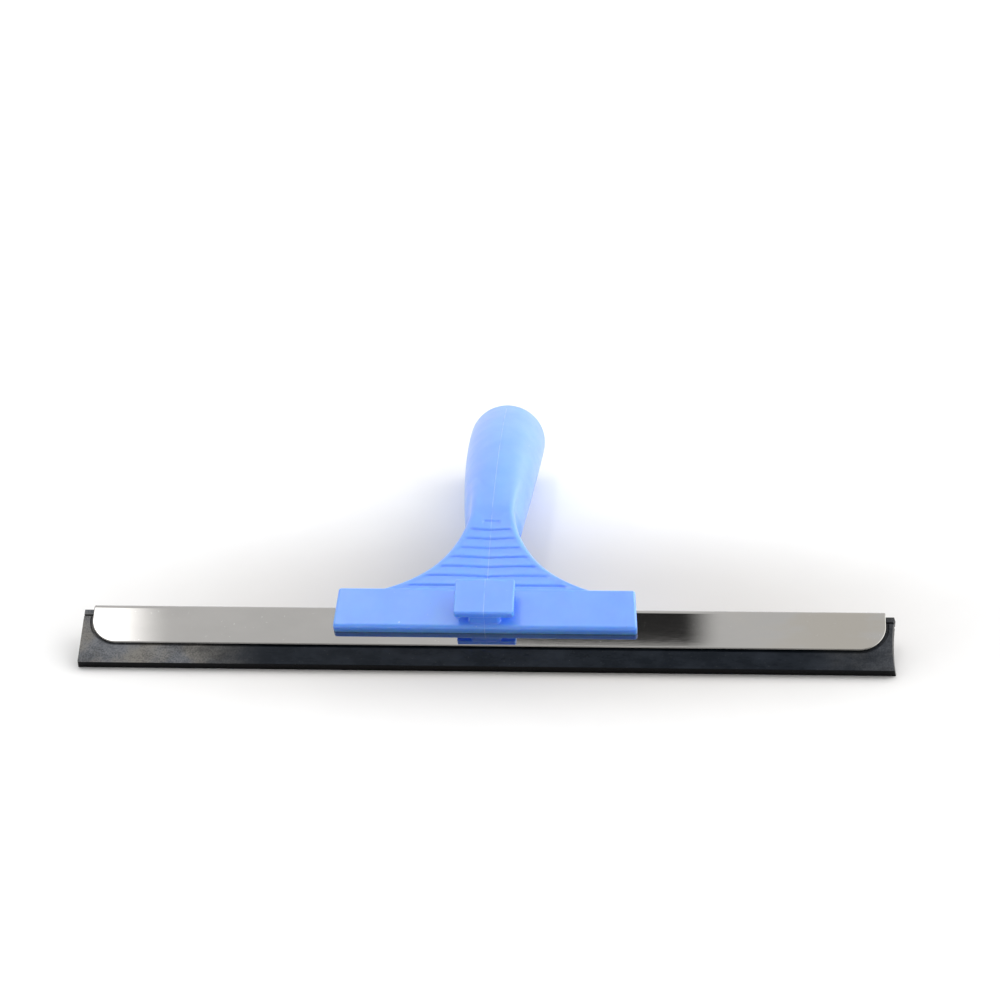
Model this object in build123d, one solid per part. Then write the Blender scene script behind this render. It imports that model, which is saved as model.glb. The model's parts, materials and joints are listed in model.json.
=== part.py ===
from build123d import *
import os
from math import asin, atan2, cos, degrees, hypot, radians, sin, tan

# Window squeegee: one moulded handle (grip, flared yoke, crossbar and T-shaped hook), a folded
# stainless channel that lies in the crossbar's slot, a rubber blade in the channel, and two
# clamping screws behind the crossbar.
#
# Every piece is drawn in the blade's own frame: X along the blade, Y up the blade plate from the
# channel's lower edge, Z forward out of the plate's front face. At the end the whole squeegee is
# laid on its back, resting on the rubber lip and on the rim of the grip, with +Z up.
# All sizes are in millimetres.

# Rubber blade
RUBBER_LENGTH = 350.0
LIP_DROP = 9.8              # how far the rubber stands out below the channel
LIP_THICKNESS = 4.4
LIP_TOP = 1.6               # the lip thins here to slide in the channel
WEB_THICKNESS = 4.2
GROOVE_THICKNESS = 3.0
GROOVE_BOTTOM = 12.4
GROOVE_TOP = 13.1
BEAD_TOP = 17.0

# Folded stainless channel
CHANNEL_LENGTH = 341.0
CHANNEL_HEIGHT = 19.8
SHEET = 0.7
CHANNEL_THICKNESS = 5.8
CHANNEL_CORNER_RADIUS = 11.8
FIT_GAP = 0.05

# Crossbar
BAR_BOTTOM = 6.1
BAR_TOP = 25.7
BAR_HALF_WIDTH_BOTTOM = 65.2
BAR_HALF_WIDTH_TOP = 63.9
BAR_WALL = 4.8
BAR_CORNER_RADIUS = 1.2
BAR_LOWER_EDGE_RADIUS = 1.7
BAR_EDGE_RADIUS = 0.6

# Hook on the crossbar's front face
HOOK_WIDTH = 25.5
HOOK_BOTTOM = 8.0
HOOK_TOP = 25.2
HOOK_FRONT = 13.6
HOOK_PLATE = 4.0
HOOK_STEM_WIDTH = 13.4
HOOK_STEM_BOTTOM = 8.8
HOOK_STEM_TOP = 23.0
HOOK_EDGE_RADIUS = 0.8

# Yoke between the crossbar and the grip
YOKE_TILT = 7.0             # degrees, the ribbed face leans back from the plate
YOKE_STEP = 0.4             # the ribbed face starts this far below the bar's front face
YOKE_ROOT = 6.0             # how far the yoke reaches down into the crossbar
KNEE_Y = 60.0               # where the flat ribbed face starts to curve down
DIVE_END = (84.0, -7.8)     # where that face has sunk into the grip
YOKE_BACK = [(80.0, -19.0), (66.0, -22.0)]
FLARE_RADIUS = 52.6
FLARE_CENTRE_X = 62.2
FLARE_CENTRE_Y = 75.5
YOKE_FRONT_EDGE_RADIUS = 2.6
YOKE_BACK_EDGE_RADIUS = 1.2
RIB_COUNT = 8
RIB_PITCH = 5.33
RIB_START = 2.3
RIB_DEPTH = 0.6
RIB_RISER = 1.1
RIB_SLOPE = 3.4
TROUGH_DEPTH = 0.9
TROUGH_WIDTH = 27.0

# Grip: round sections along an arc
NECK_CENTRE = (62.9, -11.9)
RIM_CENTRE = (155.5, -68.7)
RIM_TILT = 41.0             # degrees, lean of the grip's axis at its end
NECK_RADIUS = 11.9
RIM_RADIUS = 17.7
RIM_EDGE_RADIUS = 1.2
GRIP_STATIONS = 7

# Socket for an extension pole, in the end of the grip
SOCKET_RADIUS = 12.0
SOCKET_DEPTH = 38.0
SOCKET_CHAMFER = 1.0

# Clamping screws
SCREW_OFFSET = 40.0
SCREW_Y = 15.0
SCREW_RADIUS = 2.0
SCREW_HEAD_RADIUS = 3.8
SCREW_HEAD_HEIGHT = 2.4
SCREW_HEAD_EDGE_RADIUS = 1.2
SCREW_RECESS_LENGTH = 4.2
SCREW_RECESS_WIDTH = 1.1
SCREW_RECESS_DEPTH = 1.2

# Cutters: one that has to pass right through the squeegee, whichever way it points, and how far
# the cutters of the ribbed face reach above and below it
THROUGH = 400.0
RIB_CUTTER_TOP = 1.0
FACE_CUTTER_REACH = 4.0

# Derived places
CHANNEL_BACK = -CHANNEL_THICKNESS
CHANNEL_MIDDLE = CHANNEL_BACK / 2
BAR_BACK = CHANNEL_BACK - BAR_WALL


def profile(points):
    """A closed outline in the Y-Z plane, as a face that faces along X."""
    corners = [(0, y, z) for y, z in points]
    return make_face(Polyline(*corners, close=True))


def prism(face, half_width):
    """A Y-Z face carried from -half_width to +half_width along X."""
    return extrude(face, half_width, dir=(1, 0, 0), both=True)


def box_between(low, high):
    """A box given by its two opposite corners."""
    size = [b - a for a, b in zip(low, high)]
    centre = [(a + b) / 2 for a, b in zip(low, high)]
    return Pos(*centre) * Box(*size)


def make_rubber():
    half_lip = LIP_THICKNESS / 2
    half_web = WEB_THICKNESS / 2
    half_groove = GROOVE_THICKNESS / 2
    right = [
        (-LIP_DROP, half_lip),
        (LIP_TOP, half_lip),
        (LIP_TOP + half_lip - half_web, half_web),
        (GROOVE_BOTTOM, half_web),
        (GROOVE_BOTTOM, half_groove),
        (GROOVE_TOP, half_groove),
        (GROOVE_TOP, half_web),
        (BEAD_TOP, half_web),
    ]
    left = [(y, -z) for y, z in reversed(right)]
    face = profile([(y, CHANNEL_MIDDLE + z) for y, z in right + left])
    return prism(face, RUBBER_LENGTH / 2)


def make_channel():
    outer = CHANNEL_THICKNESS / 2
    inner = outer - SHEET
    fold_y = CHANNEL_HEIGHT - outer
    solid = Pos(0, fold_y / 2, CHANNEL_MIDDLE) * Box(CHANNEL_LENGTH, fold_y, 2 * outer)
    hollow = Pos(0, fold_y / 2, CHANNEL_MIDDLE) * Box(THROUGH, fold_y, 2 * inner)
    fold = Pos(0, fold_y, CHANNEL_MIDDLE) * Rot(0, 90, 0) * Cylinder(outer, CHANNEL_LENGTH)
    bore = Pos(0, fold_y, CHANNEL_MIDDLE) * Rot(0, 90, 0) * Cylinder(inner, THROUGH)
    channel = (solid + fold) - hollow - bore
    outline = Pos(0, CHANNEL_HEIGHT / 2) * Rectangle(CHANNEL_LENGTH, CHANNEL_HEIGHT)
    lower = outline.vertices().sort_by(Axis.Y)[:2]
    outline = fillet(lower, CHANNEL_CORNER_RADIUS)
    return channel & extrude(outline, THROUGH, both=True)


def make_bar():
    outline = make_face(Polyline(
        (-BAR_HALF_WIDTH_BOTTOM, BAR_BOTTOM),
        (BAR_HALF_WIDTH_BOTTOM, BAR_BOTTOM),
        (BAR_HALF_WIDTH_TOP, BAR_TOP),
        (-BAR_HALF_WIDTH_TOP, BAR_TOP),
        close=True,
    ))
    outline = fillet(outline.vertices(), BAR_CORNER_RADIUS)
    side = profile([
        (BAR_BOTTOM, BAR_BACK),
        (BAR_BOTTOM, BAR_WALL),
        (BAR_TOP, BAR_WALL),
        (BAR_TOP, BAR_BACK),
    ])
    side = fillet(side.vertices().group_by(Axis.Y)[0], BAR_LOWER_EDGE_RADIUS)
    side = fillet(side.vertices().group_by(Axis.Y)[-1], BAR_EDGE_RADIUS)
    return prism(side, THROUGH) & extrude(outline, THROUGH, both=True)


def grip_arc():
    """Centre, tilt and radius of each grip section, from the neck to the rim."""
    dy = RIM_CENTRE[0] - NECK_CENTRE[0]
    dz = RIM_CENTRE[1] - NECK_CENTRE[1]
    chord = hypot(dy, dz)
    chord_tilt = atan2(-dz, dy)
    half_turn = radians(RIM_TILT) - chord_tilt
    radius = chord / (2 * sin(half_turn))
    start_tilt = chord_tilt - half_turn
    stations = []
    for i in range(GRIP_STATIONS):
        share = i / (GRIP_STATIONS - 1)
        tilt = start_tilt + 2 * half_turn * share
        y = NECK_CENTRE[0] + radius * (sin(tilt) - sin(start_tilt))
        z = NECK_CENTRE[1] + radius * (cos(tilt) - cos(start_tilt))
        swell = RIM_RADIUS - (RIM_RADIUS - NECK_RADIUS) * (1 - share) ** 2
        stations.append(((y, z), degrees(tilt), swell))
    return stations


def section_plane(centre, tilt):
    """The plane across the grip at a centre; its normal leans back by tilt degrees."""
    angle = radians(tilt)
    return Plane(
        origin=(0, *centre), x_dir=(1, 0, 0), z_dir=(0, cos(angle), -sin(angle)))


def make_grip():
    sections = []
    for centre, tilt, radius in grip_arc():
        sections.append(section_plane(centre, tilt) * Circle(radius))
    grip = loft(sections)
    rim = grip.faces().sort_by(Axis.Y)[-1]
    return fillet(rim.edges(), RIM_EDGE_RADIUS)


def make_yoke():
    """Flared body from the crossbar to the neck; its front face dives into the grip."""
    slope = tan(radians(YOKE_TILT))
    front = BAR_WALL - YOKE_STEP
    start = (0, BAR_TOP, front)
    knee = (0, KNEE_Y, front - (KNEE_Y - BAR_TOP) * slope)
    face_line = Line(start, knee)
    dive = TangentArc(knee, (0, *DIVE_END), tangent=(0, 1, -slope))
    rest = Polyline(
        (0, *DIVE_END),
        *[(0, y, z) for y, z in YOKE_BACK],
        (0, BAR_TOP, BAR_BACK),
        (0, BAR_TOP - YOKE_ROOT, BAR_BACK),
        (0, BAR_TOP - YOKE_ROOT, front),
        start,
    )
    yoke = prism(make_face([face_line, dive, rest]), BAR_HALF_WIDTH_TOP - 1)
    for side in (-1, 1):
        yoke -= Pos(side * FLARE_CENTRE_X, FLARE_CENTRE_Y, 0) * Cylinder(FLARE_RADIUS, THROUGH)
    yoke = fillet(flare_edges(yoke, 1), YOKE_FRONT_EDGE_RADIUS)
    return fillet(flare_edges(yoke, -1), YOKE_BACK_EDGE_RADIUS)


def flare_edges(yoke, side):
    """The yoke's long curved edges on its front (side 1) or its back (side -1)."""
    flares = yoke.faces().filter_by(GeomType.CYLINDER).sort_by(Axis.X)
    edges = []
    for flare in (flares[0], flares[-1]):
        middle = flare.center().Z
        for edge in flare.edges():
            is_long = edge.length > YOKE_ROOT and abs(edge.tangent_at(0.5).Z) < 0.6
            if is_long and (edge.center().Z - middle) * side > 0:
                edges.append(edge)
    return edges


def make_hook():
    """T-shaped hook: a plate on a central stem, both wings free."""
    plate = box_between(
        (-HOOK_WIDTH / 2, HOOK_BOTTOM, HOOK_FRONT - HOOK_PLATE),
        (HOOK_WIDTH / 2, HOOK_TOP, HOOK_FRONT))
    plate = fillet(plate.edges(), HOOK_EDGE_RADIUS)
    stem = box_between(
        (-HOOK_STEM_WIDTH / 2, HOOK_STEM_BOTTOM, BAR_WALL - 1),
        (HOOK_STEM_WIDTH / 2, HOOK_STEM_TOP, HOOK_FRONT - HOOK_PLATE + 1))
    return plate + stem


def yoke_frame():
    """Plane on the yoke's ribbed face: X across, Y up the slope, Z out of the face."""
    angle = radians(YOKE_TILT)
    return Plane(
        origin=(0, BAR_TOP, BAR_WALL - YOKE_STEP),
        x_dir=(1, 0, 0), z_dir=(0, sin(angle), cos(angle)))


def trough_radius():
    half = TROUGH_WIDTH / 2
    return (half ** 2 + TROUGH_DEPTH ** 2) / (2 * TROUGH_DEPTH)


def make_rib_cuts():
    """Each rib ends in a short riser over a crease; the crease dips across the trough."""
    cuts = []
    frame = yoke_frame()
    centre_z = trough_radius() - TROUGH_DEPTH
    for i in range(RIB_COUNT):
        crease = RIB_START + i * RIB_PITCH
        slope_start = max(crease - RIB_SLOPE, 0)
        section = [
            (slope_start, 0),
            (crease, -RIB_DEPTH),
            (crease + RIB_RISER, 0),
            (crease + RIB_RISER, RIB_CUTTER_TOP),
            (slope_start, RIB_CUTTER_TOP),
        ]
        lowered = profile([(y, z - TROUGH_DEPTH) for y, z in section])
        ring = revolve(lowered, Axis((0, 0, centre_z), (0, 1, 0)), 360)
        window = Pos(0, crease, 0) * Box(TROUGH_WIDTH, 3 * RIB_PITCH, 2 * FACE_CUTTER_REACH)
        cuts.append(frame * prism(profile(section), BAR_HALF_WIDTH_BOTTOM))
        cuts.append(frame * (ring & window))
    return cuts


def make_trough():
    """Shallow hollow down the middle of the ribbed face."""
    radius = trough_radius()
    length = KNEE_Y - BAR_TOP
    cutter = Pos(0, 0, radius - TROUGH_DEPTH) * Rot(90, 0, 0) * Cylinder(radius, THROUGH)
    window = Pos(0, length / 2 + YOKE_STEP, 0) * Box(
        2 * TROUGH_WIDTH, length, 2 * FACE_CUTTER_REACH)
    return yoke_frame() * (cutter & window)


def make_socket():
    tilt = radians(RIM_TILT)
    outward = (0, cos(tilt), -sin(tilt))
    mouth = Plane(origin=(0, *RIM_CENTRE), x_dir=(1, 0, 0), z_dir=outward)
    bore = Pos(0, 0, (1 - SOCKET_DEPTH) / 2) * Cylinder(SOCKET_RADIUS, SOCKET_DEPTH + 1)
    lead = Pos(0, 0, -SOCKET_CHAMFER / 2) * Cone(
        SOCKET_RADIUS, SOCKET_RADIUS + SOCKET_CHAMFER, SOCKET_CHAMFER)
    return mouth * (bore + lead)


def make_slot():
    """Slot along the crossbar for the folded channel, with the channel's own shape."""
    outer = CHANNEL_THICKNESS / 2 + FIT_GAP
    fold_y = CHANNEL_HEIGHT - CHANNEL_THICKNESS / 2
    straight = box_between(
        (-THROUGH / 2, 0, CHANNEL_MIDDLE - outer),
        (THROUGH / 2, fold_y, CHANNEL_MIDDLE + outer))
    fold = Pos(0, fold_y, CHANNEL_MIDDLE) * Rot(0, 90, 0) * Cylinder(outer, THROUGH)
    return straight + fold


def screw_places():
    return [Pos(side * SCREW_OFFSET, SCREW_Y, BAR_BACK) for side in (-1, 1)]


def make_screws():
    """Pan-head clamping screws whose tips bear on the channel's back plate."""
    length = BAR_WALL - FIT_GAP
    shank = Pos(0, 0, length / 2) * Cylinder(SCREW_RADIUS, length)
    head = Pos(0, 0, -SCREW_HEAD_HEIGHT / 2) * Cylinder(SCREW_HEAD_RADIUS, SCREW_HEAD_HEIGHT)
    head = fillet(head.edges().group_by(Axis.Z)[0], SCREW_HEAD_EDGE_RADIUS)
    slit = Box(SCREW_RECESS_LENGTH, SCREW_RECESS_WIDTH, SCREW_RECESS_DEPTH)
    cross = slit + Rot(0, 0, 90) * slit
    screw = shank + head - Pos(0, 0, -SCREW_HEAD_HEIGHT + SCREW_RECESS_DEPTH / 2) * cross
    return Compound([place * screw for place in screw_places()])


def make_handle():
    yoke = make_yoke()
    handle = make_bar() + yoke + make_grip() + make_hook()
    handle -= make_trough()
    for cut in make_rib_cuts():
        handle -= cut
    handle -= make_slot()
    handle -= make_socket()
    for place in screw_places():
        handle -= place * Cylinder(SCREW_RADIUS, 3 * BAR_WALL)
    return handle


def rest_angle():
    """Angle between the blade plate and the table when lip and rim both touch it."""
    tilt = radians(RIM_TILT)
    inner = RIM_RADIUS - RIM_EDGE_RADIUS
    edge_y = RIM_CENTRE[0] - inner * sin(tilt) - RIM_EDGE_RADIUS * cos(tilt)
    edge_z = RIM_CENTRE[1] - inner * cos(tilt) + RIM_EDGE_RADIUS * sin(tilt)
    lip = (-LIP_DROP, CHANNEL_MIDDLE - LIP_THICKNESS / 2)
    dy = edge_y - lip[0]
    dz = lip[1] - edge_z
    return degrees(atan2(dz, dy) + asin(RIM_EDGE_RADIUS / hypot(dy, dz)))


def laid_on_table():
    """Turn and shift that lay the squeegee on its lip and rim, centred on the origin."""
    angle = rest_angle()
    turned = Rot(angle, 0, 0)
    boxes = [(turned * shape).bounding_box() for shape in (make_rubber(), make_grip())]
    low_y = min(box.min.Y for box in boxes)
    high_y = max(box.max.Y for box in boxes)
    low_z = boxes[0].min.Z
    return Pos(0, -(low_y + high_y) / 2, -low_z) * turned


PARTS = {
    "handle": make_handle,
    "steel_channel": make_channel,
    "rubber_blade": make_rubber,
    "clamp_screws": make_screws,
}


if __name__ == "__main__":
    os.makedirs("parts", exist_ok=True)
    place = laid_on_table()
    for name, make in PARTS.items():
        shape = place * make()
        export_step(shape, "parts/" + name + ".step")
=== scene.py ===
import json
from math import atan2, cos, hypot, radians, sin, tan

import bpy
import numpy as np
from mathutils import Matrix, Vector


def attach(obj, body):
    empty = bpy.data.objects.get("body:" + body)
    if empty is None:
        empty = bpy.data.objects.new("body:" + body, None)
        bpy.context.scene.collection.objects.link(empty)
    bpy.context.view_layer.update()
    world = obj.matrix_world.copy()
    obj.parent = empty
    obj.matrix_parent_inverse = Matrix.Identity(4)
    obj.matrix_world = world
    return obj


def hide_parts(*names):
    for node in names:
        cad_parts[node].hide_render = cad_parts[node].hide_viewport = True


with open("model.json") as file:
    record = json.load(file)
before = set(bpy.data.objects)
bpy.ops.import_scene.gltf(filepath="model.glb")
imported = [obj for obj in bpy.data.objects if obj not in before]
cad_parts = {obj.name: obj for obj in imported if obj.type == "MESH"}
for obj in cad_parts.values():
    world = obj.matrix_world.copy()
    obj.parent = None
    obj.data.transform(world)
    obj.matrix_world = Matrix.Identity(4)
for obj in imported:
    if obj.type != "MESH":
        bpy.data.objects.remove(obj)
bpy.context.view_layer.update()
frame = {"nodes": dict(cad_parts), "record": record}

# Every piece is drawn in the blade's own frame, in millimetres: X along the blade, Y up the blade
# plate from the channel's lower edge, Z forward out of the plate's front face. The frame's working
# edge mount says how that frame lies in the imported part.
MM = 0.001

# Camera
VIEW_AZIMUTH = radians(4.55)
VIEW_ELEVATION = radians(29.35)
VIEW_ROLL = radians(-1.83)
VIEW_ANGLE = radians(19.9)
VIEW_DISTANCE = 1.291
VIEW_TARGET = Vector((0.001, 0.0145, 0.0255))

# Folded stainless channel
CHANNEL_LENGTH = 341.0
CHANNEL_HEIGHT = 19.8
CHANNEL_THICKNESS = 5.8
CHANNEL_CORNER_RADIUS = 11.8
CHANNEL_MIDDLE = -CHANNEL_THICKNESS / 2
SHEET = 0.7
SHEET_OUTER_EDGE_RADIUS = 0.55
SHEET_INNER_EDGE_RADIUS = 0.08
FOLD_Y = CHANNEL_HEIGHT - CHANNEL_THICKNESS / 2
FIT_GAP = 0.05

# Rubber blade
RUBBER_LENGTH = 350.0
LIP_DROP = 9.8
LIP_THICKNESS = 4.4
LIP_EDGE_RADIUS = 0.15
LIP_CORNER_RADIUS = 0.7
GROOVE_BOTTOM = 13.5
GROOVE_TOP = 14.3
GROOVE_DEPTH = 1.1
BEAD_TOP = 17.0
BEAD_SETBACK = 0.3
BEAD_EDGE_RADIUS = 0.3
WEB_TOP = 16.0              # the web ends inside the bead
PINCH_DEPTH = 1.1
PINCH_WIDTH = 0.95
PINCH_SPREAD = 0.15         # the pinch is this much wider at +X than in the middle
PINCH_WALL = 0.25
END_HOLLOW = 0.9
END_HOLLOW_CENTRE = 3.5
END_LEAN = 0.22
LEFT_LEAN_SHARE = 0.5       # the -X end leans this much of what the +X end does
END_SLANT = 0.6             # the +X end is this much shorter at the lip

# Crossbar
BAR_BOTTOM = 6.1
BAR_TOP = 25.7
BAR_HALF_WIDTH_BOTTOM = 65.2
BAR_HALF_WIDTH_TOP = 63.9
BAR_WALL = 4.8
BAR_BACK = -CHANNEL_THICKNESS - BAR_WALL
BAR_LOWER_EDGE_RADIUS = 1.7
BAR_EDGE_RADIUS = 0.8
BAR_CORNER_RADIUS = 1.3
SLOT_EDGE_RADIUS = 0.3

# Hook
HOOK_WIDTH = 25.5
HOOK_BOTTOM = 8.0
HOOK_TOP = 25.2
HOOK_FRONT = 13.6
HOOK_PLATE = 4.0
HOOK_EDGE_RADIUS = 0.7
HOOK_CORNER_RADIUS = 1.1
HOOK_LIP_RADIUS = 0.9
STEM_WIDTH = 13.4
STEM_BOTTOM = 8.3
STEM_TOP = 23.0
STEM_CORNER_RADIUS = 1.6
STEM_FILLET = 0.5
STEM_INSET = 1.0            # of both its ends from the front faces of the bar and the plate

# Yoke
YOKE_TILT = radians(7.0)
YOKE_STEP = 0.4
YOKE_ROOT = 6.0
YOKE_BACK_END = (66.0, -22.0)
KNEE_Y = 60.0
KNEE_RADIUS = 57.0
FLARE_RADIUS = 52.6
FLARE_CENTRE = (62.2, 75.5)
FLARE_LIMIT = 60.0
YOKE_FRONT_EDGE_RADII = (1.0, 2.6)      # at the crossbar, and from YOKE_EDGE_GROWTH above it
YOKE_EDGE_GROWTH = 16.0
YOKE_BACK_EDGE_RADIUS = 2.0
TROUGH_DEPTH = 1.0
TROUGH_HALF_WIDTH = 13.5
TROUGH_SHARPNESS = 1.4

# Ribs on the yoke's front
RIB_COUNT = 8
RIB_PITCH = 5.33
RIB_START = 2.3
RIB_DEPTH = 0.6
RIB_RISER = 1.1
RIB_SLOPE = 3.4
RIB_INSET = (1.6, 4.0)
RIB_SAG = 0.4               # 0 gives straight slopes
RIB_LEAD_IN = 0.5
LAST_RIBS = (9.5, 3.6)      # half widths of the last two creases
LAST_RIB_FADE = 0.2         # share of its half width over which such a crease fades out

# Grip
NECK_CENTRE = (62.9, -11.9)
RIM_CENTRE = (155.5, -68.7)
RIM_TILT = radians(41.0)
NECK_RADIUS = 11.9
RIM_RADIUS = 17.7
RIM_EDGE_RADIUS = 1.2
GRIP_START_ROUNDING = 9.0
GRIP_START_REACH = 1.0
GRIP_SWELL_LIMITS = (-0.2, 1.1)         # the swelling goes on this far past the axis's ends
NECK_FILLET = 2.5
SOCKET_RADIUS = 12.0
SOCKET_DEPTH = 38.0
SOCKET_CHAMFER = 1.0
SCREW_OFFSET = 40.0
SCREW_Y = 15.0
SCREW_RADIUS = 2.0

# Mould parting line
PARTING_HEIGHT = 0.10
PARTING_WIDTH = 0.2

# Meshing
SETTLE_ROUNDS = 4
SETTLE_LEAST_SLOPE = 0.2
SETTLE_LIMIT = 0.6          # of a cell

# Floor, in metres: a painted shadow, an ellipse near the squeegee where the white is greyer
FLOOR_HALF_SIZE = 6.0
PAINTED_SHADOW_CENTRE = (0.02, -0.045)
PAINTED_SHADOW_RADII = (0.19, 0.08)
PAINTED_SHADOW_FADE = (0.35, 1.5)    # in radii

# Studio, by the direction that is looked in: a window is where a patch begins and where it ends
BACK_LIFT = 0.9             # how far looking to the back counts as looking up
TENT_STRETCH = (-0.3, 0.7)
TENT_STRENGTHS = (0.2, 1.2)
SIDE_STRETCH = (0.35, 0.8)
SIDE_STRENGTH = 1.6
STRIP_X = ((-0.34, -0.30), (-0.182, -0.218))
STRIP_Y = ((-0.25, -0.1), (0.35, 0.25))
STRIP_STRENGTH = 5.0
FLAG_X = ((-0.075, -0.06), (0.009, -0.005))
FLAG_Y = ((0.0797, 0.0827), (0.35, 0.25))
FLAG_DARKNESS = 0.96


def mount(name):
    for m in frame["record"]["mounts"]:
        if m["name"] == name:
            return m
    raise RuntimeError("the record has no mount named " + name)


def blade_frame():
    """The blade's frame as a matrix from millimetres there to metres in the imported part."""
    edge = mount("working_edge")
    up = -Vector(edge["axis"])
    across = Vector((1, 0, 0))
    forward = across.cross(up)
    origin = Vector(edge["pos_m"]) + (up * LIP_DROP - forward * CHANNEL_MIDDLE) * MM
    turn = Matrix((across, up, forward)).transposed().to_4x4()
    return Matrix.Translation(origin) @ turn @ Matrix.Scale(MM, 4)


PLACE = blade_frame()


# Distances: below zero inside the solid, in millimetres.

def round_and(a, b, radius):
    """Where both a and b are solid, with the edge between them rounded."""
    edge = np.hypot(np.maximum(a + radius, 0), np.maximum(b + radius, 0))
    return np.minimum(np.maximum(a, b), -radius) + edge


def fillet_or(a, b, radius):
    """Where a or b is solid, with a fillet in the corner between them."""
    corner = np.hypot(np.maximum(radius - a, 0), np.maximum(radius - b, 0))
    return np.maximum(np.minimum(a, b), radius) - corner


def slab(value, low, high):
    return np.maximum(low - value, value - high)


def ramp(value, start, end):
    """Smooth step from 0 at start to 1 at end."""
    share = np.clip((value - start) / (end - start), 0, 1)
    return share * share * (3 - 2 * share)


def bar(x, y, z):
    share = (y - BAR_BOTTOM) / (BAR_TOP - BAR_BOTTOM)
    half_width = BAR_HALF_WIDTH_BOTTOM + (BAR_HALF_WIDTH_TOP - BAR_HALF_WIDTH_BOTTOM) * share
    side = round_and(slab(z, BAR_BACK, BAR_WALL), y - BAR_TOP, BAR_EDGE_RADIUS)
    side = round_and(side, BAR_BOTTOM - y, BAR_LOWER_EDGE_RADIUS)
    return round_and(side, np.abs(x) - half_width, BAR_CORNER_RADIUS)


def yoke_front(y):
    """Height of the ribbed face, without its ribs and its trough."""
    plane = BAR_WALL - YOKE_STEP - np.maximum(y - BAR_TOP, 0) * tan(YOKE_TILT)
    return plane - np.maximum(y - KNEE_Y, 0) ** 2 / (2 * KNEE_RADIUS)


def flare(x, y):
    below = np.minimum(y - FLARE_CENTRE[1], 0)
    circle = FLARE_RADIUS - np.hypot(np.abs(x) - FLARE_CENTRE[0], below)
    return np.maximum(circle, np.abs(x) - FLARE_LIMIT)


def trough(x):
    share = np.clip(1 - np.abs(x) / TROUGH_HALF_WIDTH, 0, 1)
    return TROUGH_DEPTH * share ** TROUGH_SHARPNESS


def rib_depth(x, y):
    """Depth of the ribbing: each rib slopes down to a crease and ends in a short riser."""
    along = (y - BAR_TOP) / cos(YOKE_TILT)
    full_ribs = RIB_COUNT - len(LAST_RIBS)
    depth = 0
    for i in range(RIB_COUNT):
        crease = RIB_START + i * RIB_PITCH
        down = (along - crease + RIB_SLOPE) / RIB_SLOPE
        up = (crease + RIB_RISER - along) / RIB_RISER
        share = np.clip(np.minimum(down, up), 0, 1)
        rib = RIB_DEPTH * share * (1 - RIB_SAG + RIB_SAG * share)
        if i >= full_ribs:
            reach = LAST_RIBS[i - full_ribs]
            fade = LAST_RIB_FADE * reach
            rib = rib * ramp(reach - np.abs(x), -fade, fade)
        depth = np.maximum(depth, rib)
    return depth * ramp(along, 0, RIB_LEAD_IN)


def yoke(x, y, z):
    side = flare(x, y)
    inset = ramp(-side, *RIB_INSET)
    front = (z - yoke_front(y) + trough(x) + rib_depth(x, y) * inset) * cos(YOKE_TILT)
    slope = (YOKE_BACK_END[1] - BAR_BACK) / (YOKE_BACK_END[0] - BAR_TOP)
    back = BAR_BACK + (y - BAR_TOP) * slope - z
    low, high = YOKE_FRONT_EDGE_RADII
    edge = low + (high - low) * ramp(y, BAR_TOP, BAR_TOP + YOKE_EDGE_GROWTH)
    body = round_and(side, front, edge)
    body = round_and(body, back, YOKE_BACK_EDGE_RADIUS)
    return np.maximum(body, BAR_TOP - YOKE_ROOT - y)


def grip_arc():
    """Centre and radius of the arc that the grip's axis follows, and its tilt at the neck."""
    dy = RIM_CENTRE[0] - NECK_CENTRE[0]
    dz = RIM_CENTRE[1] - NECK_CENTRE[1]
    chord_tilt = atan2(-dz, dy)
    half_turn = RIM_TILT - chord_tilt
    radius = hypot(dy, dz) / (2 * sin(half_turn))
    start = chord_tilt - half_turn
    centre = (NECK_CENTRE[0] - radius * sin(start), NECK_CENTRE[1] - radius * cos(start))
    return centre, radius, start


def socket(x, along, off):
    """The pole socket, from distances along and off the grip's axis at the rim."""
    reach = np.hypot(x, off)
    bore = np.maximum(reach - SOCKET_RADIUS, -SOCKET_DEPTH - along)
    return np.minimum(bore, (reach - SOCKET_RADIUS - SOCKET_CHAMFER - along) / 2 ** 0.5)


def grip(x, y, z):
    centre, radius, start = grip_arc()
    tilt = np.arctan2(y - centre[0], z - centre[1])
    off = np.hypot(y - centre[0], z - centre[1]) - radius
    share = (tilt - start) / (RIM_TILT - start)
    inside = np.clip(share, *GRIP_SWELL_LIMITS)
    swell = RIM_RADIUS - (RIM_RADIUS - NECK_RADIUS) * (1 - inside) ** 2
    tube = np.hypot(x, off) - swell
    nose = (start - tilt) * radius - GRIP_START_REACH
    return round_and(tube, nose, GRIP_START_ROUNDING)


def handle(x, y, z):
    rim_along = (y - RIM_CENTRE[0]) * cos(RIM_TILT) - (z - RIM_CENTRE[1]) * sin(RIM_TILT)
    rim_off = (y - RIM_CENTRE[0]) * sin(RIM_TILT) + (z - RIM_CENTRE[1]) * cos(RIM_TILT)
    solid = fillet_or(yoke(x, y, z), grip(x, y, z), NECK_FILLET)
    solid = round_and(solid, rim_along, RIM_EDGE_RADIUS)
    solid = np.maximum(solid, -socket(x, rim_along, rim_off))
    solid = np.minimum(solid, bar(x, y, z))
    solid = fillet_or(solid, hook(x, y, z), STEM_FILLET)
    solid = round_and(solid, -folded(y, z, CHANNEL_THICKNESS / 2 + FIT_GAP), SLOT_EDGE_RADIUS)
    for side in (-1, 1):
        hole = np.hypot(x - side * SCREW_OFFSET, y - SCREW_Y) - SCREW_RADIUS
        solid = np.maximum(solid, -np.maximum(hole, z))
    return solid - PARTING_HEIGHT * np.exp(-(x / PARTING_WIDTH) ** 2)


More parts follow.
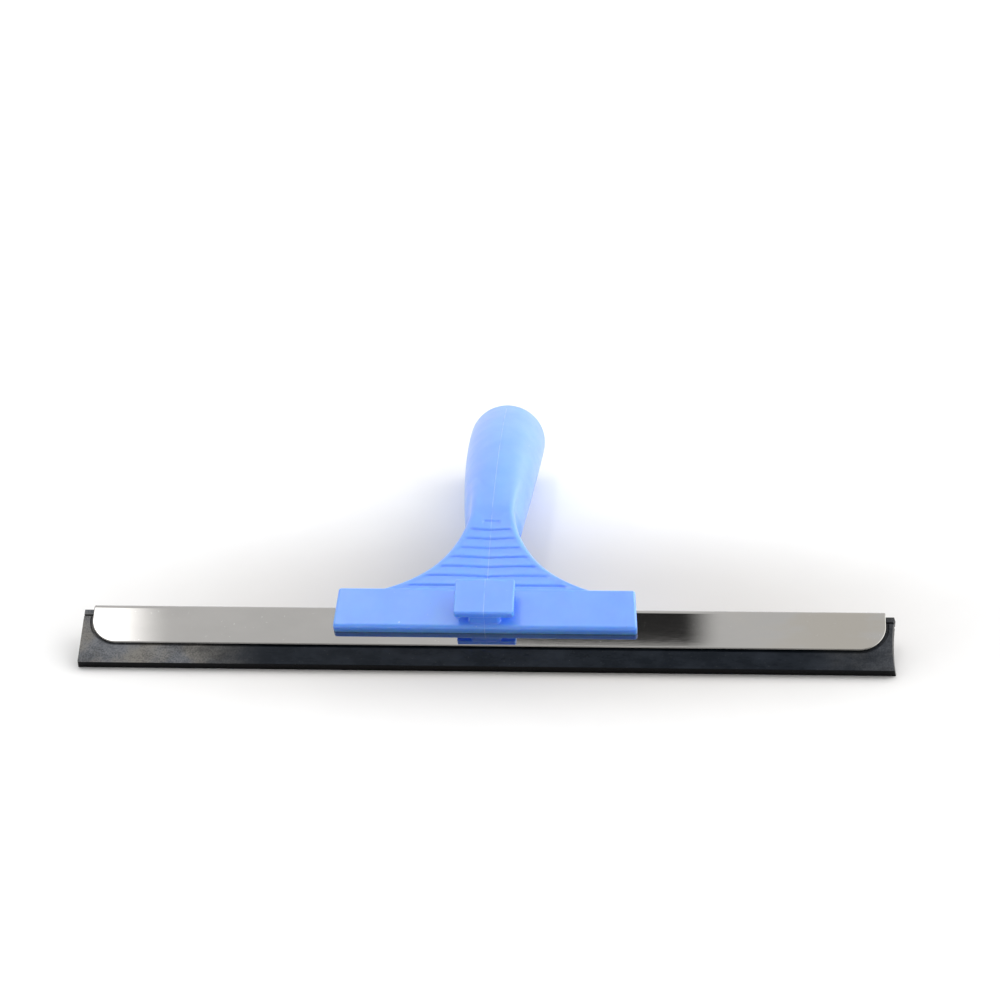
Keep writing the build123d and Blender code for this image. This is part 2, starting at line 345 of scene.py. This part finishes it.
def folded(y, z, half_thickness):
    """A plate with a round upper edge, open below: the channel's outer or inner skin."""
    return np.hypot(np.maximum(y - FOLD_Y, 0), z - CHANNEL_MIDDLE) - half_thickness


def channel_outline(x, y):
    return round_and(np.abs(x) - CHANNEL_LENGTH / 2, -y, CHANNEL_CORNER_RADIUS)


def channel(x, y, z):
    outer = folded(y, z, CHANNEL_THICKNESS / 2)
    inner = folded(y, z, CHANNEL_THICKNESS / 2 - SHEET)
    sheet = round_and(outer, channel_outline(x, y), SHEET_OUTER_EDGE_RADIUS)
    return round_and(sheet, -inner, SHEET_INNER_EDGE_RADIUS)


def rubber(x, y, z):
    outside = channel_outline(x, y)
    width = PINCH_WIDTH + PINCH_SPREAD * 2 * x / CHANNEL_LENGTH
    pinch = PINCH_DEPTH * (1 - ramp(outside, width, width + PINCH_WALL))
    body = np.abs(z - CHANNEL_MIDDLE) - LIP_THICKNESS / 2
    lip = round_and(body + pinch * (y < GROOVE_BOTTOM), y - GROOVE_BOTTOM, LIP_EDGE_RADIUS)
    web = np.maximum(body + GROOVE_DEPTH, slab(y, 0, WEB_TOP))
    bead = round_and(body + BEAD_SETBACK, slab(y, GROOVE_TOP, BEAD_TOP), BEAD_EDGE_RADIUS)
    reach = (y - END_HOLLOW_CENTRE) / (LIP_DROP + END_HOLLOW_CENTRE)
    hollow = END_HOLLOW * np.maximum(1 - reach ** 2, 0)
    lean = END_LEAN * (z - CHANNEL_MIDDLE + LIP_THICKNESS / 2)
    slant = END_SLANT * (BEAD_TOP - y) / (BEAD_TOP + LIP_DROP)
    right = x - RUBBER_LENGTH / 2 + hollow + lean + slant
    left = -x - RUBBER_LENGTH / 2 + LEFT_LEAN_SHARE * lean
    solid = np.minimum(np.minimum(lip, web), bead)
    solid = round_and(solid, -LIP_DROP - y, LIP_EDGE_RADIUS)
    end = round_and(np.maximum(left, right), -LIP_DROP - y, LIP_CORNER_RADIUS)
    return round_and(solid, end, LIP_EDGE_RADIUS)


def hook(x, y, z):
    outline = round_and(
        np.abs(x) - HOOK_WIDTH / 2, slab(y, HOOK_BOTTOM, HOOK_TOP), HOOK_CORNER_RADIUS)
    plate = round_and(outline, slab(z, HOOK_FRONT - HOOK_PLATE, HOOK_FRONT), HOOK_EDGE_RADIUS)
    plate = np.maximum(plate, round_and(HOOK_BOTTOM - y, z - HOOK_FRONT, HOOK_LIP_RADIUS))
    stem = round_and(
        np.abs(x) - STEM_WIDTH / 2, slab(y, STEM_BOTTOM, STEM_TOP), STEM_CORNER_RADIUS)
    stem = np.maximum(
        stem, slab(z, BAR_WALL - STEM_INSET, HOOK_FRONT - STEM_INSET))
    return fillet_or(plate, stem, STEM_FILLET)


def spaced(*stretches):
    """Grid lines: (from, to, step) stretches laid end to end."""
    lines = [np.linspace(a, b, max(round((b - a) / step), 1), endpoint=False)
             for a, b, step in stretches]
    return np.concatenate([*lines, [stretches[-1][1]]])


def mirrored(lines):
    return np.concatenate([-lines[:0:-1], lines])


def surface(distance, xs, ys, zs):
    """Quads where distance is zero: one point in each grid cell that the surface crosses."""
    axes = (xs, ys, zs)
    values = distance(xs[:, None, None], ys[None, :, None], zs[None, None, :])
    inside = values < 0
    cells = tuple(len(a) - 1 for a in axes)
    total = np.zeros((*cells, 3), np.float32)
    count = np.zeros(cells, np.float32)
    quads = []
    for axis in range(3):
        u, v = [a for a in range(3) if a != axis]
        low = [slice(None)] * 3
        high = [slice(None)] * 3
        low[axis] = slice(0, -1)
        high[axis] = slice(1, None)
        a, b = values[tuple(low)], values[tuple(high)]
        crossed = inside[tuple(low)] != inside[tuple(high)]
        index = np.argwhere(crossed)
        share = a[crossed] / (a[crossed] - b[crossed])
        point = np.stack([axes[k][index[:, k]] for k in range(3)], 1)
        step = axes[axis][index[:, axis] + 1] - axes[axis][index[:, axis]]
        point[:, axis] += share * step
        corners = []
        for du, dv in ((0, 0), (1, 0), (1, 1), (0, 1)):
            cell = index.copy()
            cell[:, u] -= du
            cell[:, v] -= dv
            np.add.at(total, tuple(cell.T), point)
            np.add.at(count, tuple(cell.T), 1)
            corners.append(np.ravel_multi_index(tuple(cell.T), cells))
        quad = np.stack(corners, 1)
        leaving = a[crossed] < 0
        flip = leaving if axis == 1 else ~leaving       # so that every quad faces outward
        quad[flip] = quad[flip][:, ::-1]
        quads.append(quad)
    used = np.flatnonzero(count.ravel())
    points = total.reshape(-1, 3)[used] / count.ravel()[used, None]
    place = np.zeros(count.size, np.int64)
    place[used] = np.arange(len(used))
    cell = np.stack(np.unravel_index(used, cells), 1)
    room = np.stack([np.diff(axes[k])[cell[:, k]] for k in range(3)], 1)
    return points, place[np.concatenate(quads)], room


def slope(points, distance, reach=0.02):
    """How the distance changes with X, Y and Z at the points."""
    x, y, z = points.T
    return np.stack([
        distance(x + reach, y, z) - distance(x - reach, y, z),
        distance(x, y + reach, z) - distance(x, y - reach, z),
        distance(x, y, z + reach) - distance(x, y, z - reach)], 1) / (2 * reach)


def settle(points, distance, room):
    """Moves the points onto the surface, at most a little more than half a cell."""
    start = points.copy()
    for _ in range(SETTLE_ROUNDS):
        gradient = slope(points, distance)
        size = np.maximum((gradient ** 2).sum(1), SETTLE_LEAST_SLOPE)
        step = gradient * (distance(*points.T) / size)[:, None]
        limit = SETTLE_LIMIT * room
        points = start + np.clip(points - step - start, -limit, limit)
    return points


def new_piece(name, body, node, distance, lines, material):
    """The surface of a distance as a piece that stands for a CAD node."""
    points, faces, room = surface(distance, *lines)
    points = settle(points, distance, room)
    normals = slope(points, distance)
    normals /= np.linalg.norm(normals, axis=1, keepdims=True)
    mesh = bpy.data.meshes.new(name)
    mesh.from_pydata([PLACE @ Vector(p) for p in points.tolist()], [], faces.tolist())
    mesh.polygons.foreach_set("use_smooth", [True] * len(mesh.polygons))
    turn = np.array(PLACE.to_3x3()) / MM
    mesh.normals_split_custom_set_from_vertices((normals @ turn.T).tolist())
    mesh.materials.append(material)
    piece = bpy.data.objects.new(name, mesh)
    bpy.context.scene.collection.objects.link(piece)
    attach(piece, body)
    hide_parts(node)


# The grid lines below lie closer where a shape is finer: (from, to, step) stretches.

def make_handle(material):
    xs = mirrored(spaced(
        (0, 0.6, 0.12), (0.6, 5.2, 0.8), (5.2, 7.6, 0.4), (7.6, 11.2, 0.7), (11.2, 13.4, 0.3),
        (13.4, 61.9, 1.25), (61.9, 66.2, 0.35)))
    ys = spaced(
        (5.2, 10.2, 0.35), (10.2, 21, 1.0), (21, 25, 0.4), (25, 68, 0.4), (68, 142, 1.15),
        (142, 169, 0.7))
    zs = spaced(
        (-84.5, -52, 0.8), (-52, -25, 1.1), (-25, -11.5, 0.7), (-11.5, -9.5, 0.4),
        (-9.5, -6.5, 0.6), (-6.5, 1.0, 0.35), (1.0, 5.4, 0.35), (5.4, 9.0, 0.6), (9.0, 14.1, 0.3))
    new_piece("handle_moulding", "handle", "handle", handle, (xs, ys, zs), material)


def make_channel(material):
    xs = mirrored(spaced(
        (0, 156, 4), (156, 158.4, 0.6), (158.4, 168, 0.25), (168, 171.2, 0.16)))
    ys = spaced(
        (-0.5, 1.5, 0.15), (1.5, 12, 0.25), (12, 16.6, 0.8), (16.6, 20.2, 0.2))
    zs = spaced((-6.1, -4.9, 0.15), (-4.9, -0.9, 0.4), (-0.9, 0.3, 0.15))
    new_piece("channel_sheet", "channel", "steel_channel", channel, (xs, ys, zs), material)


def make_rubber(material):
    xs = mirrored(spaced(
        (0, 155, 3), (155, 171.5, 0.35), (171.5, 175.5, 0.15)))
    ys = spaced(
        (-10.1, -9.3, 0.1), (-9.3, -1.9, 0.8), (-1.9, 0.3, 0.15), (0.3, 12.4, 0.3),
        (12.4, 13.2, 0.25), (13.2, 14.7, 0.1), (14.7, 16.4, 0.4), (16.4, 17.3, 0.1))
    zs = spaced((-5.4, -3.9, 0.12), (-3.9, -1.9, 0.4), (-1.9, -0.4, 0.12))
    new_piece("wiper_rubber", "blade", "rubber_blade", rubber, (xs, ys, zs), material)


def make_camera():
    data = bpy.data.cameras.new("camera")
    data.angle = VIEW_ANGLE
    data.clip_start = 0.01
    data.clip_end = 20
    camera = bpy.data.objects.new("camera", data)
    bpy.context.scene.collection.objects.link(camera)
    back = Vector((
        sin(VIEW_AZIMUTH) * cos(VIEW_ELEVATION),
        -cos(VIEW_AZIMUTH) * cos(VIEW_ELEVATION),
        sin(VIEW_ELEVATION),
    ))
    turn = (-back).to_track_quat("-Z", "Y").to_matrix().to_4x4()
    roll = Matrix.Rotation(VIEW_ROLL, 4, "Z")
    camera.matrix_world = Matrix.Translation(VIEW_TARGET + back * VIEW_DISTANCE) @ turn @ roll
    bpy.context.scene.camera = camera


class Net:
    """Makes nodes in a material or a world; each call returns the new node's output."""

    def __init__(self, owner):
        owner.use_nodes = True
        self.tree = owner.node_tree
        self.shader = self.tree.nodes.get("Principled BSDF")

    def feed(self, socket, value):
        if isinstance(value, bpy.types.NodeSocket):
            self.tree.links.new(value, socket)
        else:
            socket.default_value = value

    def node(self, kind, inputs, output=0, **settings):
        node = self.tree.nodes.new("ShaderNode" + kind)
        for name, value in settings.items():
            setattr(node, name, value)
        for name, value in inputs.items():
            self.feed(node.inputs[name], value)
        return node.outputs[output]

    def set(self, **inputs):
        """Feeds the shader's inputs; a name's underscores stand for spaces."""
        for name, value in inputs.items():
            self.feed(self.shader.inputs[name.replace("_", " ")], value)

    def math(self, operation, *values):
        return self.node("Math", dict(enumerate(values)), operation=operation)

    def step(self, value, start, end, low=0.0, high=1.0):
        """Smoothly from low at start to high at end."""
        inputs = {"Value": value, "From Min": start, "From Max": end,
                  "To Min": low, "To Max": high}
        if start > end:
            inputs.update({"From Min": end, "From Max": start, "To Min": high, "To Max": low})
        return self.node("MapRange", inputs, interpolation_type="SMOOTHSTEP")

    def window(self, value, rise, fall):
        """1 between two stretches, and 0 outside them."""
        return self.math("MULTIPLY", self.step(value, *rise), self.step(value, *fall))

    def place(self, scale=(1, 1, 1)):
        """The piece's own coordinates, stretched."""
        where = self.node("TexCoord", {}, "Object")
        return self.node("Mapping", {"Vector": where, "Scale": scale})

    def noise(self, where, scale, detail=3.0, roughness=0.5):
        return self.node("TexNoise", {
            "Vector": where, "Scale": scale, "Detail": detail, "Roughness": roughness})

    def cells(self, where, scale):
        """Distance to the nearest of many scattered points."""
        return self.node("TexVoronoi", {"Vector": where, "Scale": scale}, "Distance")

    def mix(self, share, a, b):
        return self.node("Mix", {0: share, 6: a, 7: b}, 2, data_type="RGBA")

    def bump(self, height, distance, strength=1.0, normal=None):
        inputs = {"Height": height, "Distance": distance, "Strength": strength}
        if normal:
            inputs["Normal"] = normal
        return self.node("Bump", inputs)


def colour(red, green, blue):
    return (red, green, blue, 1.0)


def blue_plastic():
    """Satin moulded plastic: faint mottling, fine grain, a few scuffs and specks."""
    material = bpy.data.materials.new("blue_plastic")
    net = Net(material)
    where = net.place()
    mottle = net.step(net.noise(where, 70, 4), 0.35, 0.65)
    tone = net.mix(mottle, colour(0.078, 0.298, 0.95), colour(0.092, 0.318, 0.97))
    scuff = net.noise(net.place((1, 0.25, 1)), 900, 2)
    patch = net.noise(where, 90, 1)
    marks = net.math("MULTIPLY", net.step(scuff, 0.70, 0.76), net.step(patch, 0.62, 0.68))
    tone = net.mix(net.math("MULTIPLY", marks, 0.5), tone, colour(0.62, 0.74, 0.95))
    speck = net.step(net.cells(where, 170), 0.045, 0.03)
    tone = net.mix(net.math("MULTIPLY", speck, 0.45), tone, colour(0.03, 0.09, 0.30))
    across = net.node("SeparateXYZ", {0: where}, 0)
    # a lighter line on the parting ridge at X = 0: partly stress whitening, partly a painted
    # highlight of the ridge
    seam_whitening_and_highlight = net.window(across, (-0.00022, -0.00012), (0.00022, 0.00012))
    # painted shade: a darker line beside the parting ridge, on its +X side only
    seam_painted_shade = net.window(across, (0.0002, 0.0003), (0.0007, 0.00045))
    patches = net.step(net.noise(where, 130, 2), 0.30, 0.55)
    tone = net.mix(net.math("MULTIPLY", seam_painted_shade, 0.35), tone, colour(0.09, 0.27, 0.85))
    tone = net.mix(net.math("MULTIPLY", seam_whitening_and_highlight, net.math("MULTIPLY", patches, 0.35)), tone,
                   colour(0.45, 0.60, 1.0))
    grain = net.noise(where, 3200, 2)
    ripple = net.noise(where, 160, 2)
    net.set(
        Base_Color=tone,
        Roughness=net.step(net.noise(where, 120, 4), 0.3, 0.7, 0.34, 0.44),
        IOR=1.9,
        Coat_Weight=0.6,
        Coat_Roughness=0.35,
        Subsurface_Weight=1.0,
        Subsurface_Radius=(0.15, 0.42, 1.0),
        Subsurface_Scale=0.006,
        Normal=net.bump(grain, 0.00002, 0.6, net.bump(ripple, 0.00001, 0.5)))
    return material


def stainless():
    """Polished sheet with a faint brushing along the blade, haze, dust and a stain near +X."""
    material = bpy.data.materials.new("stainless")
    net = Net(material)
    brushing = net.noise(net.place((0.06, 1, 1)), 3000, 3)
    haze = net.noise(net.place((0.5, 1, 1)), 60, 5)
    wave = net.noise(net.place((0.35, 1, 1)), 28, 1)
    where = net.place()
    dust = net.step(net.cells(where, 420), 0.07, 0.03)
    tone = net.mix(net.step(haze, 0.3, 0.7), colour(0.335, 0.328, 0.317),
                   colour(0.36, 0.352, 0.34))
    along = net.node("SeparateXYZ", {0: where}, 0)
    stain = net.math("MULTIPLY", net.step(haze, 0.42, 0.58), net.step(along, 0.09, 0.15))
    tone = net.mix(net.math("MULTIPLY", stain, 0.8), tone, colour(0.335, 0.315, 0.28))
    tone = net.mix(net.math("MULTIPLY", dust, 0.3), tone, colour(0.75, 0.74, 0.72))
    shine = net.step(brushing, 0.3, 0.7, 0.02, 0.032)
    net.set(
        Base_Color=tone,
        Metallic=1.0,
        Roughness=net.math("ADD", shine, net.math("MULTIPLY", dust, 0.25)),
        Normal=net.bump(brushing, 0.000001, 0.3, net.bump(wave, 0.00001, 0.5)))
    return material


def black_rubber():
    """Smooth black rubber with bloom and small pits, dusty at both ends. Its cut edges, which
    face neither forward nor back, are clean of dust and painted blacker as shade."""
    material = bpy.data.materials.new("black_rubber")
    net = Net(material)
    where = net.place()
    bloom = net.noise(net.place((0.6, 1, 1)), 110, 6, 0.65)
    streak = net.noise(net.place((0.12, 1, 1)), 700, 3)
    pit = net.step(net.cells(where, 500), 0.10, 0.05)
    tone = net.mix(net.step(bloom, 0.35, 0.75), colour(0.006, 0.0085, 0.0125),
                   colour(0.015, 0.019, 0.026))
    along = net.node("SeparateXYZ", {0: where}, 0)
    ends = net.math("ADD", net.step(along, -0.09, -0.145),
                    net.step(along, 0.13, 0.2, 0.0, 0.5))
    powder = net.math("MULTIPLY", net.step(bloom, 0.25, 0.75, 0.4, 1.2),
                      net.step(net.noise(where, 1500, 2), 0.3, 0.7, 0.7, 1.3))
    warm = net.mix(net.step(net.noise(where, 70, 2), 0.40, 0.66), colour(0.150, 0.156, 0.168),
                   colour(0.185, 0.176, 0.160))
    tone = net.mix(net.math("MULTIPLY", ends, powder), tone, warm)
    tone = net.mix(net.math("MULTIPLY", pit, 0.5), tone, colour(0.09, 0.09, 0.09))
    # painted shade: faces pointing neither forward nor back, the cut edges, lose their dust and
    # take a near-black colour darker than the rubber's own
    forward = PLACE.to_3x3().col[2].normalized()
    facing = net.node("VectorMath", {0: net.node("TexCoord", {}, "Normal"), 1: forward}, "Value",
                      operation="DOT_PRODUCT")
    edge_shade_free = net.step(net.math("ABSOLUTE", facing), 0.5, 0.95)
    tone = net.mix(edge_shade_free, colour(0.002, 0.0022, 0.003), tone)
    shine = net.step(bloom, 0.3, 0.7, 0.22, 0.34)
    shine = net.math("ADD", shine, net.step(streak, 0.4, 0.8, 0.0, 0.08))
    net.set(
        Base_Color=tone,
        Roughness=shine,
        IOR=1.15,
        Normal=net.bump(bloom, 0.00006, 0.5, net.bump(streak, 0.00001, 0.5)))
    return material


def zinc():
    """Bright zinc plating, a little cloudy."""
    material = bpy.data.materials.new("zinc")
    net = Net(material)
    cloud = net.noise(net.place(), 500, 4)
    net.set(
        Base_Color=net.mix(cloud, colour(0.52, 0.53, 0.55), colour(0.68, 0.68, 0.66)),
        Metallic=1.0,
        Roughness=net.step(cloud, 0.3, 0.7, 0.24, 0.40))
    return material


def pale_floor():
    """Matt white sheet with a painted shadow: greyer near the squeegee."""
    material = bpy.data.materials.new("floor")
    net = Net(material)
    where = net.node("TexCoord", {}, "Object")
    spread = net.node("Mapping", {
        "Vector": where,
        "Location": (-PAINTED_SHADOW_CENTRE[0] / PAINTED_SHADOW_RADII[0], -PAINTED_SHADOW_CENTRE[1] / PAINTED_SHADOW_RADII[1], 0),
        "Scale": (1 / PAINTED_SHADOW_RADII[0], 1 / PAINTED_SHADOW_RADII[1], 1)})
    reach = net.node("VectorMath", {0: spread}, "Value", operation="LENGTH")
    # painted shadow: the sheet is darker, and a little warmer, towards the squeegee
    tone = net.mix(net.step(reach, *PAINTED_SHADOW_FADE), colour(0.595, 0.58, 0.565),
                   colour(0.87, 0.87, 0.87))
    tone = net.mix(net.step(net.noise(where, 40, 4), 0.3, 0.7, 0.0, 0.04), tone,
                   colour(0.5, 0.5, 0.5))
    net.set(
        Base_Color=tone,
        Roughness=0.8,
        Specular_IOR_Level=0.1)
    return material


def give(node, material):
    obj = frame["nodes"][node]
    obj.data.materials.clear()
    obj.data.materials.append(material)


def make_floor():
    mesh = bpy.data.meshes.new("floor")
    half = FLOOR_HALF_SIZE
    corners = [(-half, -half, 0), (half, -half, 0), (half, half, 0), (-half, half, 0)]
    mesh.from_pydata(corners, [], [(0, 1, 2, 3)])
    floor = bpy.data.objects.new("floor", mesh)
    bpy.context.scene.collection.objects.link(floor)
    mesh.materials.append(pale_floor())


def make_world():
    """A bright studio: a white tent overhead and behind that is dim in front, a light on the
    right, a strong strip light to the left of overhead, and a small dark flag overhead."""
    world = bpy.data.worlds.new("studio")
    net = Net(world)
    direction = net.node("TexCoord", {}, "Generated")
    parts = net.tree.nodes.new("ShaderNodeSeparateXYZ")
    net.feed(parts.inputs[0], direction)
    x, y, z = parts.outputs
    lift = net.math("MULTIPLY_ADD", y, BACK_LIFT, z)
    tent = net.step(lift, *TENT_STRETCH, *TENT_STRENGTHS)
    side = net.step(x, *SIDE_STRETCH, 0.0, SIDE_STRENGTH)
    strip = net.math("MULTIPLY", net.window(x, *STRIP_X), net.window(y, *STRIP_Y))
    flag = net.math("MULTIPLY", net.window(x, *FLAG_X), net.window(y, *FLAG_Y))
    light = net.math("MULTIPLY", tent, net.math("MULTIPLY_ADD", flag, -FLAG_DARKNESS, 1.0))
    light = net.math("ADD", light, net.math("MULTIPLY", strip, STRIP_STRENGTH))
    light = net.math("ADD", light, side)
    net.feed(net.tree.nodes["Background"].inputs["Strength"], light)
    net.tree.nodes["Background"].inputs["Color"].default_value = colour(1, 1, 1)
    bpy.context.scene.world = world


make_camera()
make_floor()
make_world()
bpy.context.scene.view_settings.view_transform = "Standard"
make_handle(blue_plastic())
make_channel(stainless())
make_rubber(black_rubber())
give("clamp_screws", zinc())
